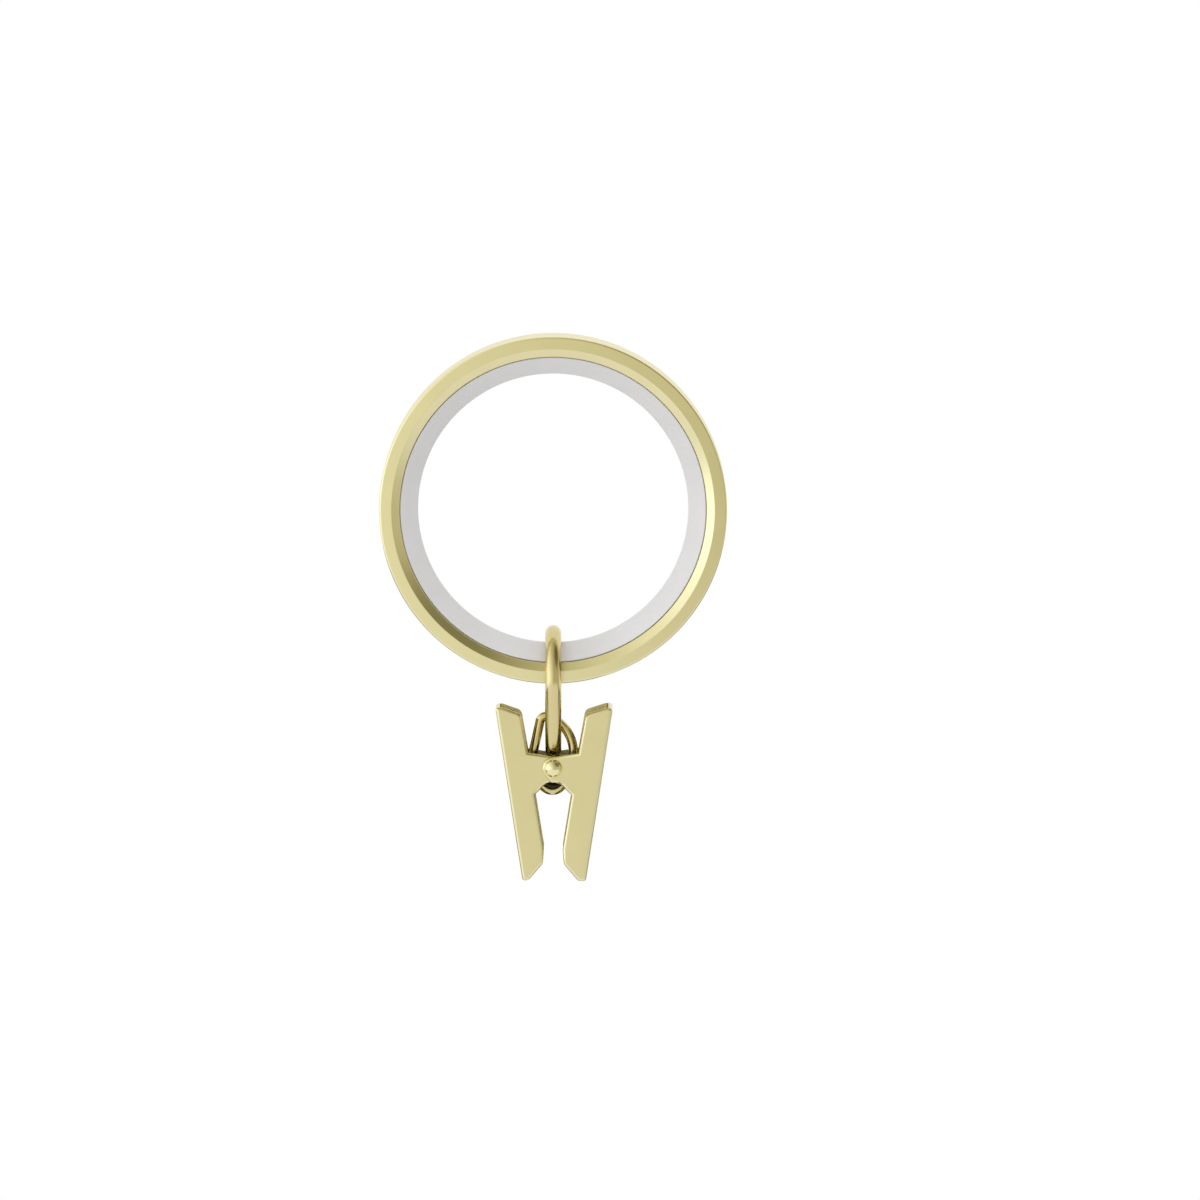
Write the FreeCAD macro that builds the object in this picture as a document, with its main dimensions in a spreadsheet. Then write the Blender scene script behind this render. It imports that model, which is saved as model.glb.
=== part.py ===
import FreeCAD, Part
import math
import os
import re
import Sketcher
from FreeCAD import Rotation, Vector

# Curtain ring with clip, in millimetres. The origin is the centre of the ring, at the middle of its
# depth. Y runs along the curtain rod, Z is up, and the clip hangs below.

values = {
    # Metal ring, turned round the rod's axis
    "ringOuterRadius": 23.0,
    "ringDepth": 8.0,
    "ringEdgeBreak": 0.25,
    "ringFaceWidth": 1.65,
    "ringLipHeight": 1.05,
    "ringLipInset": 0.8,
    "grooveWall": 1.3,
    "grooveDepth": 5.0,
    # Plastic liner in the groove
    "linerFit": 0.05,
    "linerRidge": 2.4,
    "linerLand": 1.0,
    "linerShoulderInset": 0.05,
    # Pear-shaped link through the ring
    "linkWire": 2.15,
    "linkPlay": 0.12,
    "linkLength": 17.65,
    "linkCrownRadius": 5.5,
    "linkFootRadius": 1.7,
    # Oval link between the hanging link and the pin
    "ovalWire": 1.25,
    "ovalEndRadius": 1.5,
    "ovalEndShift": -0.13,
    "ovalEndDrop": 1.87,
    "ovalRightReach": 2.65,
    "ovalRightRise": 1.77,
    "ovalCrownRadius": 5.05,
    "ovalLeftReach": 2.85,
    "ovalLeftRise": 0.43,
    "ovalLean": 12.2,
    "ovalCorner": 0.85,
    # Clip: the pivot, and the jaw's outline measured from it
    "pinBelowLink": 1.05,
    "handleReach": 7.7,
    "handleRise": 7.98,
    "handleCrestReach": 6.75,
    "handleInnerReach": 4.25,
    "handleInnerRise": 7.1,
    "handleCorner": 0.9,
    "notchReach": 3.35,
    "notchRise": 1.97,
    "earRadius": 1.43,
    "earTopAngle": 100.0,
    "earLowAngle": 215.0,
    "archRise": 1.96,
    "archRadius": 2.02,
    "archOverlap": 0.35,
    "archHalfWidth": 1.75,
    "shoulderReach": 2.43,
    "shoulderDrop": 3.62,
    "jawReach": 1.25,
    "jawDrop": 10.87,
    "biteReach": 1.37,
    "biteDrop": 12.82,
    "noseReach": 3.3,
    "noseDrop": 15.1,
    "tipReach": 4.1,
    "tipDrop": 15.14,
    "outerWebStep": 0.22,
    # Folded sheet of the jaws
    "sheetWall": 0.6,
    "outerJawDepth": 7.0,
    "jawSideFit": 0.06,
    "bendRadius": 0.75,
    "lipHeel": 0.85,
    "lipToe": 0.95,
    # Rivet
    "pinRadius": 0.5,
    "pinFit": 0.05,
    "headRadius": 1.17,
    "headRim": 0.12,
    "headDome": 0.75,
    "headFit": 0.04,
    # Double torsion spring
    "springWire": 0.6,
    "coilInnerRadius": 1.4,
    "coilPitch": 0.66,
    "coilSideFit": 0.09,
    "coilHang": 0.05,
    "legRise": 5.6,
    "legFit": 0.12,
    "bridgeBend": 0.7,
}

# Sizes that follow from those above
derived = {
    "ringFaceInnerRadius": "ringOuterRadius - ringFaceWidth",
    "ringLipRadius": "ringFaceInnerRadius - ringLipHeight",
    "grooveRadius": "ringOuterRadius - grooveWall",
    "linerBoreRadius": "ringLipRadius - linerRidge",
    "linkTopDrop": "linerBoreRadius - linkPlay - linkWire",
    "linkCrownDrop": "linkTopDrop + linkWire / 2 + linkCrownRadius",
    "linkFootDrop": "linkTopDrop + linkLength - linkWire / 2 - linkFootRadius",
    "pivotDrop": "linkTopDrop + linkLength + pinBelowLink",
    "innerJawDepth": "outerJawDepth - 2 * sheetWall - 2 * jawSideFit",
    "webLean": "(handleReach - tipReach) / (handleRise + tipDrop)",
    "webOffset": "sheetWall * sqrt(1 + webLean ^ 2)",
}

tiny = 1e-4  # how near a point counts as on a line

doc = FreeCAD.newDocument("curtain_ring_with_clip")


def makeSheet():
    sheet = doc.addObject("Spreadsheet::Sheet", "sizes")
    for row, (alias, value) in enumerate(values.items(), start=1):
        sheet.set(f"A{row}", alias)
        sheet.set(f"B{row}", str(value))
        sheet.setAlias(f"B{row}", alias)
    doc.recompute()
    return sheet


sizes = makeSheet()


def linked(text):
    # Writes out the derived sizes in a formula and puts the sheet's name before each of the others.
    def spell(match):
        word = match.group()
        if word in derived:
            return f"({linked(derived[word])})"
        return "sizes." + word if word in values else word

    return re.sub(r"[A-Za-z]\w*", spell, text)


def measure(text):
    # The present value of a formula.
    return float(sizes.evalExpression(linked(text)))


def bind(item, prop, text):
    item.setExpression(prop, linked(text))


def newBody(label):
    body = doc.addObject("PartDesign::Body", label)
    body.Label = label
    return body


def newSketch(body, name, role):
    sketch = body.newObject("Sketcher::SketchObject", name)
    plane = [f for f in body.Origin.OriginFeatures if f.Role == role][0]
    sketch.AttachmentSupport = [(plane, "")]
    sketch.MapMode = "FlatFace"
    return sketch


def arcBetween(start, end, radius, turn):
    # The shorter arc from start to end, anticlockwise where turn is 1.
    chord = end - start
    half = chord.Length / 2
    normal = Vector(-chord.y, chord.x, 0) / chord.Length
    centre = (start + end) / 2 + normal * turn * math.sqrt(radius**2 - half**2)
    first, last = (start, end) if turn > 0 else (end, start)
    angles = [math.atan2(p.y - centre.y, p.x - centre.x) for p in (first, last)]
    circle = Part.Circle(centre, Vector(0, 0, 1), radius)
    return Part.ArcOfCircle(circle, angles[0], angles[1])


def outline(sketch, corners):
    # A closed outline. Each corner is two formulas, and two more where the edge after it is an arc:
    # the arc's radius and its turn.
    points = [Vector(measure(c[0]), measure(c[1]), 0) for c in corners]
    ends = []
    for index, corner in enumerate(corners):
        start, end = points[index], points[(index + 1) % len(points)]
        if len(corner) == 2:
            edge = sketch.addGeometry(Part.LineSegment(start, end))
            ends.append((edge, 1, 2))
        else:
            turn = corner[3]
            edge = sketch.addGeometry(arcBetween(start, end, measure(corner[2]), turn))
            ends.append((edge, 1, 2) if turn > 0 else (edge, 2, 1))
    for index, (edge, first, last) in enumerate(ends):
        following = ends[(index + 1) % len(ends)]
        sketch.addConstraint(Sketcher.Constraint("Coincident", edge, last, following[0], following[1]))
        for kind, text, size in (
            ("DistanceX", corners[index][0], points[index].x),
            ("DistanceY", corners[index][1], points[index].y),
        ):
            number = sketch.addConstraint(Sketcher.Constraint(kind, -1, 1, edge, first, size))
            bind(sketch, f"Constraints[{number}]", text)
        if len(corners[index]) > 2:
            radius = corners[index][2]
            number = sketch.addConstraint(Sketcher.Constraint("Radius", edge, measure(radius)))
            bind(sketch, f"Constraints[{number}]", radius)


def turned(body, sketch):
    # Revolves an outline about its own upright axis.
    feature = body.newObject("PartDesign::Revolution", "turning")
    feature.Profile = sketch
    feature.ReferenceAxis = (sketch, ["V_Axis"])
    feature.Angle = 360
    return feature


def extruded(body, kind, name, sketch, length):
    feature = body.newObject("PartDesign::" + kind, name)
    feature.Profile = sketch
    feature.SideType = "Symmetric"
    bind(feature, "Length", length)
    doc.recompute()
    return feature


def rounded(body, name, base, radius, wanted):
    # Rounds the edges of a feature whose two ends pass a test.
    chosen = [
        f"Edge{number}"
        for number, edge in enumerate(base.Shape.Edges, start=1)
        if len(edge.Vertexes) == 2 and wanted(edge.Vertexes[0].Point, edge.Vertexes[1].Point)
    ]
    feature = body.newObject("PartDesign::Fillet", name)
    feature.Base = (base, chosen)
    bind(feature, "Radius", radius)
    doc.recompute()
    return feature


def metalRing():
    body = newBody("metal_ring")
    sketch = newSketch(body, "ring_section", "XY_Plane")
    lipHalf = "(ringDepth / 2 - ringLipInset)"
    half = [
        ("grooveRadius", "grooveDepth / 2"),
        ("ringLipRadius", "grooveDepth / 2"),
        ("ringLipRadius", lipHalf),
        ("ringFaceInnerRadius", "ringDepth / 2"),
        ("ringOuterRadius - ringEdgeBreak", "ringDepth / 2"),
        ("ringOuterRadius", "ringDepth / 2 - ringEdgeBreak"),
    ]
    outline(sketch, half + [(r, f"-({y})") for r, y in reversed(half)])
    turned(body, sketch)
    return body


def glideLiner():
    # A base that fills the groove and a ridge with sloping sides that stands out of it.
    body = newBody("glide_liner")
    sketch = newSketch(body, "liner_section", "XY_Plane")
    base = "(grooveDepth / 2 - linerFit)"
    shoulder = "(ringDepth / 2 - ringLipInset - linerShoulderInset)"
    half = [
        ("linerBoreRadius", "linerLand / 2"),
        ("ringLipRadius - linerFit", shoulder),
        ("ringLipRadius - linerFit", base),
        ("grooveRadius - linerFit", base),
    ]
    outline(sketch, half + [(r, f"-({y})") for r, y in reversed(half)])
    turned(body, sketch)
    return body


def bentWire(label, edges, wire):
    # Sweeps a round section along straight runs and tangent arcs.
    path = doc.addObject("Part::Feature", label + "_path")
    path.Shape = Part.Wire(edges)
    section = doc.addObject("Part::Circle", label + "_section")
    bind(section, "Radius", wire + " / 2")
    first = edges[0]
    section.Placement.Base = first.valueAt(first.FirstParameter)
    section.Placement.Rotation = Rotation(Vector(0, 0, 1), first.tangentAt(first.FirstParameter))
    sweep = doc.addObject("Part::Sweep", label)
    sweep.Label = label
    sweep.Sections = [section]
    sweep.Spine = (path, [])
    sweep.Solid = True
    sweep.Frenet = False
    doc.recompute()
    return sweep


def arcEdge(centre, across, up, radius, first, last):
    # An arc in the plane of two unit vectors, between two angles in radians.
    def at(angle):
        return centre + (across * math.cos(angle) + up * math.sin(angle)) * radius

    return Part.Arc(at(first), at((first + last) / 2), at(last)).toShape()


def hangingLink():
    # A pear-shaped link: a wide crown round the ring, a small foot and two straight sides tangent to both.
    crown, foot = measure("linkCrownRadius"), measure("linkFootRadius")
    across, up = Vector(0, 1, 0), Vector(0, 0, 1)
    crownCentre = up * -measure("linkCrownDrop")
    footCentre = up * -measure("linkFootDrop")
    lean = math.asin((crown - foot) / (crownCentre - footCentre).z)
    right = across * math.cos(lean) - up * math.sin(lean)
    left = across * -math.cos(lean) - up * math.sin(lean)
    edges = [
        Part.LineSegment(footCentre + right * foot, crownCentre + right * crown).toShape(),
        arcEdge(crownCentre, across, up, crown, -lean, math.pi + lean),
        Part.LineSegment(crownCentre + left * crown, footCentre + left * foot).toShape(),
        arcEdge(footCentre, across, up, foot, math.pi + lean, 2 * math.pi - lean),
    ]
    return bentWire("hanging_link", edges, "linkWire")


def ovalLink():
    # A lopsided oval: a straight left side that leans in, a tight corner, a wide crown over to the right
    # and a round end below the pin, all tangent.
    end, crown, corner = [measure(n) for n in ("ovalEndRadius", "ovalCrownRadius", "ovalCorner")]
    lean = math.radians(measure("ovalLean"))
    across, up = Vector(1, 0, 0), Vector(0, 0, 1)
    pivot = up * -measure("pivotDrop")
    endCentre = pivot + across * measure("ovalEndShift") - up * measure("ovalEndDrop")
    right = pivot + across * measure("ovalRightReach") + up * measure("ovalRightRise")
    left = pivot - across * measure("ovalLeftReach") + up * measure("ovalLeftRise")

    def flankRadius(wide, high):
        return (wide**2 + high**2 - end**2) / (2 * (wide - end))

    def angleTo(start, stop):
        return math.atan2((stop - start).z, (stop - start).x)

    rightFlank = flankRadius((right - endCentre).x, (right - endCentre).z)
    leftFlank = flankRadius((endCentre - left).x, (left - endCentre).z)
    rightCentre = right - across * rightFlank
    leftCentre = left + across * leftFlank
    crownCentre = right - across * crown
    sideFoot = leftCentre + (up * math.sin(lean) - across * math.cos(lean)) * leftFlank
    inwards = across * math.cos(lean) - up * math.sin(lean)
    upwards = across * math.sin(lean) + up * math.cos(lean)
    offset = sideFoot + inwards * corner - crownCentre
    along = offset.dot(upwards)
    rise = math.sqrt((crown - corner) ** 2 - offset.dot(offset) + along**2) - along
    cornerCentre = sideFoot + inwards * corner + upwards * rise
    crownStart = angleTo(crownCentre, cornerCentre)
    rightTurn = angleTo(rightCentre, endCentre)
    leftTurn = angleTo(leftCentre, endCentre)
    edges = [
        Part.LineSegment(sideFoot, sideFoot + upwards * rise).toShape(),
        arcEdge(cornerCentre, across, up, corner, math.pi - lean, crownStart),
        arcEdge(crownCentre, across, up, crown, crownStart, 0),
        arcEdge(rightCentre, across, up, rightFlank, 0, rightTurn),
        arcEdge(endCentre, across, up, end, rightTurn, leftTurn),
        arcEdge(leftCentre, across, up, leftFlank, leftTurn + 2 * math.pi, math.pi - lean),
    ]
    return bentWire("oval_link", edges, "ovalWire")


def webReach(rise, step):
    # Distance of the web's outer face from the pivot's upright plane, at a height over the pivot. The
    # outer jaw's web stands a step further out than the inner one's.
    return f"(handleReach + {step} - webLean * (handleRise - ({rise})))"


def jawOutline(side, step):
    corners = [
        (f"handleReach + {step}", "handleRise"),
        (f"handleCrestReach + {step}", "handleRise"),
        ("handleInnerReach", "handleInnerRise"),
        ("notchReach", "notchRise"),
        ("earRadius * cos(earTopAngle)", "earRadius * sin(earTopAngle)", "earRadius", 1),
        ("earRadius * cos(earLowAngle)", "earRadius * sin(earLowAngle)"),
        (
            "-archOverlap",
            "-archRise - archRadius + sqrt(archRadius ^ 2 - archOverlap ^ 2)",
            "archRadius",
            -1,
        ),
        ("archHalfWidth", "-archRise - archRadius + sqrt(archRadius ^ 2 - archHalfWidth ^ 2)"),
        ("shoulderReach", "-shoulderDrop"),
        ("jawReach", "-jawDrop"),
        ("biteReach", "-biteDrop"),
        ("noseReach", "-noseDrop"),
        (f"tipReach + {step}", "-tipDrop"),
    ]
    return placedCorners(side, corners)


def placedCorners(side, corners):
    # Moves corners from the pivot to the ring's frame, mirrored where side is -1.
    placed = []
    for corner in corners:
        spot = (f"{side} * ({corner[0]})", f"({corner[1]}) - pivotDrop")
        if len(corner) > 2:
            spot += (corner[2], corner[3] * side)
        placed.append(spot)
    return placed


def jaw(label, side, depth, step):
    # One folded sheet: a web down the outer side, two cheeks, and a lip folded in at the tip.
    body = newBody(label)
    cheek = newSketch(body, label + "_cheek", "XZ_Plane")
    outline(cheek, jawOutline(side, step))
    blank = extruded(body, "Pad", label + "_blank", cheek, depth)

    heelRise = "-noseDrop + lipHeel"
    above = "2 * handleRise"
    hollow = newSketch(body, label + "_hollow", "XZ_Plane")
    hollowCorners = [
        (f"{webReach(above, step)} - webOffset", above),
        ("-handleReach", above),
        ("-handleReach", "-biteDrop + lipToe"),
        ("biteReach", "-biteDrop + lipToe"),
        (f"{webReach(heelRise, step)} - webOffset", heelRise),
    ]
    outline(hollow, placedCorners(side, hollowCorners))
    channel = extruded(body, "Pocket", label + "_channel", hollow, f"{depth} - 2 * sheetWall")

    bore = newSketch(body, label + "_bore", "XZ_Plane")
    circle = Part.Circle(Vector(0, -measure("pivotDrop"), 0), Vector(0, 0, 1), measure("pinRadius + pinFit"))
    ring = bore.addGeometry(circle)
    bore.addConstraint(Sketcher.Constraint("PointOnObject", ring, 3, -2))
    number = bore.addConstraint(Sketcher.Constraint("DistanceY", -1, 1, ring, 3, measure("-pivotDrop")))
    bind(bore, f"Constraints[{number}]", "-pivotDrop")
    number = bore.addConstraint(Sketcher.Constraint("Radius", ring, measure("pinRadius + pinFit")))
    bind(bore, f"Constraints[{number}]", "pinRadius + pinFit")
    bored = extruded(body, "Pocket", label + "_pin_hole", bore, f"2 * {depth}")

    def downWeb(inset, halfDepth):
        # Passes an edge that runs down the web, at a distance from its outer face and from mid-depth.
        def onLine(point):
            rise = point.z + measure("pivotDrop")
            reach = measure(webReach(repr(rise), step)) - inset
            return abs(side * point.x - reach) < tiny and abs(abs(point.y) - halfDepth) < tiny

        return lambda start, end: onLine(start) and onLine(end) and abs(start.y - end.y) < tiny

    halfDepth = measure(depth) / 2
    bend = rounded(body, label + "_bend", bored, "bendRadius", downWeb(0, halfDepth))
    inside = downWeb(measure("webOffset"), halfDepth - measure("sheetWall"))
    fold = rounded(body, label + "_fold", bend, "bendRadius - sheetWall", inside)

    def atHandleCorner(start, end):
        spot = Vector(side * measure("handleInnerReach"), 0, measure("handleInnerRise - pivotDrop"))
        return all(abs(p.x - spot.x) < tiny and abs(p.z - spot.z) < tiny for p in (start, end))

    rounded(body, label + "_corner", fold, "handleCorner", atHandleCorner)
    return body


def pivotRivet():
    body = newBody("pivot_rivet")
    sketch = newSketch(body, "rivet_section", "XY_Plane")
    seat = "(outerJawDepth / 2 + headFit)"
    dome = "((headRadius ^ 2 + headDome ^ 2) / (2 * headDome))"
    corners = [
        ("0", f"-{seat} - headRim - headDome", dome, 1),
        ("headRadius", f"-{seat} - headRim"),
        ("headRadius", f"-{seat}"),
        ("pinRadius", f"-{seat}"),
        ("pinRadius", seat),
        ("headRadius", seat),
        ("headRadius", f"{seat} + headRim", dome, 1),
        ("0", f"{seat} + headRim + headDome"),
    ]
    outline(sketch, corners)
    turned(body, sketch)
    bind(body, "Placement.Base.z", "-pivotDrop")
    return body


def torsionSpring():
    # A double torsion spring: a coil each side of the oval link, hung on the pin, a leg from each coil
    # on the inner jaw's web, and a bridge between the coils on the outer jaw's web.
    wire = measure("springWire")
    radius = measure("coilInnerRadius") + wire / 2
    outerY = measure("innerJawDepth / 2 - sheetWall - coilSideFit") - wire / 2
    innerY = outerY - measure("coilPitch")
    centreZ = -measure("pivotDrop - pinRadius - coilHang + coilInnerRadius")
    across, along, up = Vector(1, 0, 0), Vector(0, 1, 0), Vector(0, 0, 1)

    bend = measure("bridgeBend")

    def onWeb(step):
        # Where a leg meets a web, as seen on the right, and the angle at which it leaves the coil.
        inset = "webOffset * (1 + (springWire / 2 + legFit) / sheetWall)"
        touch = Vector(measure(f"{webReach('legRise', step)} - {inset}"), 0, measure("legRise - pivotDrop"))
        away = touch - up * centreZ
        return touch, math.atan2(away.z, away.x) - math.acos(radius / away.Length)

    legTouch, legLeave = onWeb("0")
    bridgeTouch, bridgeLeave = onWeb("outerWebStep")

    def onCoil(angle, y):
        return Vector(radius * math.cos(angle), y, centreZ + radius * math.sin(angle))

    def halfTurn(start, end, side):
        # Half a turn between the bottom and the top of the coil, in a plane tilted by half the pitch.
        middle = (start + end) / 2
        return Part.Arc(start, middle + across * side * (end - start).Length / 2, end).toShape()

    bottomFirst, bottomLast = onCoil(-math.pi / 2, -outerY), onCoil(-math.pi / 2, -innerY)
    top = onCoil(math.pi / 2, -(outerY + innerY) / 2)
    hub = up * centreZ
    legTip = Vector(-legTouch.x, -outerY, legTouch.z)
    legRoot = onCoil(math.pi - legLeave, -outerY)
    bridgeRoot = onCoil(bridgeLeave, -innerY)
    bridgeEnd = Vector(bridgeTouch.x, -innerY, bridgeTouch.z)
    heading = (bridgeEnd - bridgeRoot).normalize()
    bendStart = bridgeEnd - heading * bend
    bendEnd = bridgeEnd + along * bend
    bendCentre = bendStart + along * bend
    front = [
        Part.LineSegment(legTip, legRoot).toShape(),
        arcEdge(hub - along * outerY, across, up, radius, math.pi - legLeave, 1.5 * math.pi),
        halfTurn(bottomFirst, top, 1),
        halfTurn(top, bottomLast, -1),
        arcEdge(hub - along * innerY, across, up, radius, -math.pi / 2, bridgeLeave),
        Part.LineSegment(bridgeRoot, bendStart).toShape(),
        arcEdge(bendCentre, -along, heading, bend, 0, math.pi / 2),
    ]
    bridge = Part.LineSegment(bendEnd, Vector(bendEnd.x, -bendEnd.y, bendEnd.z)).toShape()
    rear = [backwards(edge.mirror(Vector(), along)) for edge in reversed(front)]
    return bentWire("torsion_spring", front + [bridge] + rear, "springWire")


def backwards(edge):
    # The same line or arc, run from its end to its start.
    first, last = edge.FirstParameter, edge.LastParameter
    start, middle, end = [edge.valueAt(p) for p in (first, (first + last) / 2, last)]
    if (middle - (start + end) / 2).Length < 1e-7:
        return Part.LineSegment(end, start).toShape()
    return Part.Arc(end, middle, start).toShape()


pieces = [
    metalRing(),
    glideLiner(),
    hangingLink(),
    ovalLink(),
    jaw("outer_jaw", 1, "outerJawDepth", "outerWebStep"),
    jaw("inner_jaw", -1, "innerJawDepth", "0"),
    pivotRivet(),
    torsionSpring(),
]
doc.recompute()

for item in doc.Objects:
    faults = [word for word in item.State if word in ("Invalid", "Error")]
    if faults:
        raise RuntimeError(f"{item.Label} failed: {faults}")
for piece in pieces:
    if piece.Shape.isNull() or not piece.Shape.isValid() or len(piece.Shape.Solids) != 1:
        raise RuntimeError(f"{piece.Label} is not one valid solid")

os.makedirs("parts", exist_ok=True)
for piece in pieces:
    piece.Shape.exportStep(f"parts/{piece.Label}.step")
    print(f"{piece.Label}: {piece.Shape.Volume:.2f} mm3, {piece.Shape.BoundBox}")
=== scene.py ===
from math import acos, cos, pi, radians, sin, sqrt

import bmesh
import bpy
import numpy as np
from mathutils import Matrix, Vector


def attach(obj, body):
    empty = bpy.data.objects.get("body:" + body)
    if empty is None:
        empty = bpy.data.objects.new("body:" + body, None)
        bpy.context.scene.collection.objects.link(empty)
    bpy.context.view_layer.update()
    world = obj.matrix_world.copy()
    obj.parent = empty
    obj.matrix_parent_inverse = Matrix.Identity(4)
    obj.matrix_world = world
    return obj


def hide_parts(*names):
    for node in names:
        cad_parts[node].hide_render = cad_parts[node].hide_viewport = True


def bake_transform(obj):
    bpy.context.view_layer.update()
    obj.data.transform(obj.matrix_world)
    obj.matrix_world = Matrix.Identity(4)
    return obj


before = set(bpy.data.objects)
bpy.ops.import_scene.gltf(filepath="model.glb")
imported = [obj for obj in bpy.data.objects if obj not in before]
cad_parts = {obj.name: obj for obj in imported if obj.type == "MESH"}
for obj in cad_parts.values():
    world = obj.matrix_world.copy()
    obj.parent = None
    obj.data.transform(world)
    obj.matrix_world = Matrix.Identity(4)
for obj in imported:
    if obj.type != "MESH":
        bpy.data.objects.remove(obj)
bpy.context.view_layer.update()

scene = bpy.context.scene
scene.view_settings.view_transform = "Standard"
mm = 0.001  # sizes below are in millimetres, and meshes in metres
print("frame loaded:", sorted(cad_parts))


def linear(hexColour):
    srgb = np.array([int(hexColour[i : i + 2], 16) for i in (1, 3, 5)]) / 255
    low, high = srgb / 12.92, ((srgb + 0.055) / 1.055) ** 2.4
    return (*np.where(srgb <= 0.04045, low, high).tolist(), 1.0)


# Adds a node with its settings. An input is a socket to link or a value to set.
def addNode(tree, kind, inputs=None, **settings):
    node = tree.nodes.new(kind)
    for name, value in settings.items():
        setattr(node, name, value)
    for key, value in (inputs or {}).items():
        if isinstance(value, bpy.types.NodeSocket):
            tree.links.new(value, node.inputs[key])
        else:
            node.inputs[key].default_value = value
    return node


def newMaterial(name):
    material = bpy.data.materials.new(name)
    material.use_nodes = True
    material.node_tree.nodes.clear()
    return material, material.node_tree


# Satin brass plate on pressed steel: an even pale gold with soft reflections, faintly clouded by the
# plating bath, and a fine grain that the polishing belt leaves.
satinPlateLook = {
    "pale": "#EEE5B0",
    "deep": "#E6DDA6",
    "cloud": 4.0,  # width of the plating's clouds
    "cloudDetail": 2.0,
    "grain": 0.35,  # real grain is near 0.05, drawn coarser to show
    "grainRun": 5.0,  # length of a grain line
    "grainDetail": 3.0,
    "grainBreak": 0.6,  # weight of the finer detail
    "roughLow": 0.3,
    "roughHigh": 0.33,
    "depth": 0.004,
    "relief": 0.04,
}

# The rivet's dome is burnished by the heading tool.
burnishedLook = {**satinPlateLook, "roughLow": 0.13, "roughHigh": 0.17}

# Drawn brass-plated wire: smoother and deeper than the sheet, with faint lines along its length from
# the drawing die.
drawnWireLook = {
    "pale": "#DDD097",
    "deep": "#D2C286",
    "line": 0.3,  # width of a die line round the wire, drawn coarser to show
    "lineRun": 8.0,
    "lineDetail": 2.0,
    "roughLow": 0.14,
    "roughHigh": 0.2,
    "depth": 0.002,
    "relief": 0.2,
}

# Spring steel, dull and dark brown: the dark brown is painted shade for the coils that sit in shadow between the
# cheeks.
springPaintedShadeLook = {
    "pale": "#40392A",
    "deep": "#2C2619",
    "line": 0.2,
    "lineRun": 5.0,
    "lineDetail": 2.0,
    "roughLow": 0.34,
    "roughHigh": 0.42,
    "depth": 0.002,
    "relief": 0.2,
}

noiseLow, noiseHigh = 0.3, 0.7  # most values of a noise pattern lie between these


# One pattern mixes the metal's two tones, and another gives its roughness and its relief.
def metalFinish(tree, look, toneBy, grainBy):
    tones = {0: toneBy, 6: linear(look["deep"]), 7: linear(look["pale"])}
    tone = addNode(tree, "ShaderNodeMix", tones, data_type="RGBA")
    rough = addNode(
        tree,
        "ShaderNodeMapRange",
        {
            "Value": grainBy,
            "From Min": noiseLow,
            "From Max": noiseHigh,
            "To Min": look["roughLow"],
            "To Max": look["roughHigh"],
        },
    )
    bump = addNode(
        tree,
        "ShaderNodeBump",
        {"Height": grainBy, "Strength": look["relief"], "Distance": look["depth"] * mm},
    )
    shader = addNode(
        tree,
        "ShaderNodeBsdfPrincipled",
        {
            "Base Color": tone.outputs[2],
            "Metallic": 1.0,
            "Roughness": rough.outputs[0],
            "Normal": bump.outputs[0],
        },
    )
    addNode(tree, "ShaderNodeOutputMaterial", {"Surface": shader.outputs[0]})


def satinPlate(name, look, turnedGrain):
    material, tree = newMaterial(name)
    place = addNode(tree, "ShaderNodeTexCoord").outputs
    fine, run = 1 / look["grain"], 1 / look["grainRun"]
    if turnedGrain:  # grain runs round the ring: UV is profile length and arc length in mm
        spread = {"Vector": place["UV"], "Scale": (fine, run, 1)}
    else:  # grain runs along the jaw, which stands upright
        spread = {"Vector": place["Object"], "Scale": (fine / mm, fine / mm, run / mm)}
    grain = addNode(
        tree,
        "ShaderNodeTexNoise",
        {
            "Vector": addNode(tree, "ShaderNodeMapping", spread).outputs[0],
            "Scale": 1.0,
            "Detail": look["grainDetail"],
            "Roughness": look["grainBreak"],
        },
    )
    cloud = addNode(
        tree,
        "ShaderNodeTexNoise",
        {"Vector": place["Object"], "Scale": 1 / look["cloud"] / mm, "Detail": look["cloudDetail"]},
    )
    metalFinish(tree, look, cloud.outputs["Fac"], grain.outputs["Fac"])
    return material


def wireFinish(name, look):
    material, tree = newMaterial(name)
    place = addNode(tree, "ShaderNodeTexCoord").outputs["UV"]
    along = addNode(
        tree,
        "ShaderNodeMapping",
        {"Vector": place, "Scale": (1 / look["lineRun"], 1 / look["line"], 1)},
    )
    lines = addNode(
        tree,
        "ShaderNodeTexNoise",
        {"Vector": along.outputs[0], "Scale": 1.0, "Detail": look["lineDetail"]},
    )
    metalFinish(tree, look, lines.outputs["Fac"], lines.outputs["Fac"])
    return material


# Injection-moulded acetal: a milky cool white with a soft sheen and the mould's fine spark grain.
mouldedWhiteLook = {
    "pale": "#E6E5E5",
    "deep": "#DEDDDC",
    "cloud": 5.0,
    "spark": 0.3,  # spark grain, drawn coarser to show
    "sparkDetail": 3.0,
    "depth": 0.004,
    "relief": 0.3,
    "rough": 0.42,
    "ior": 1.48,
}


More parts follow.
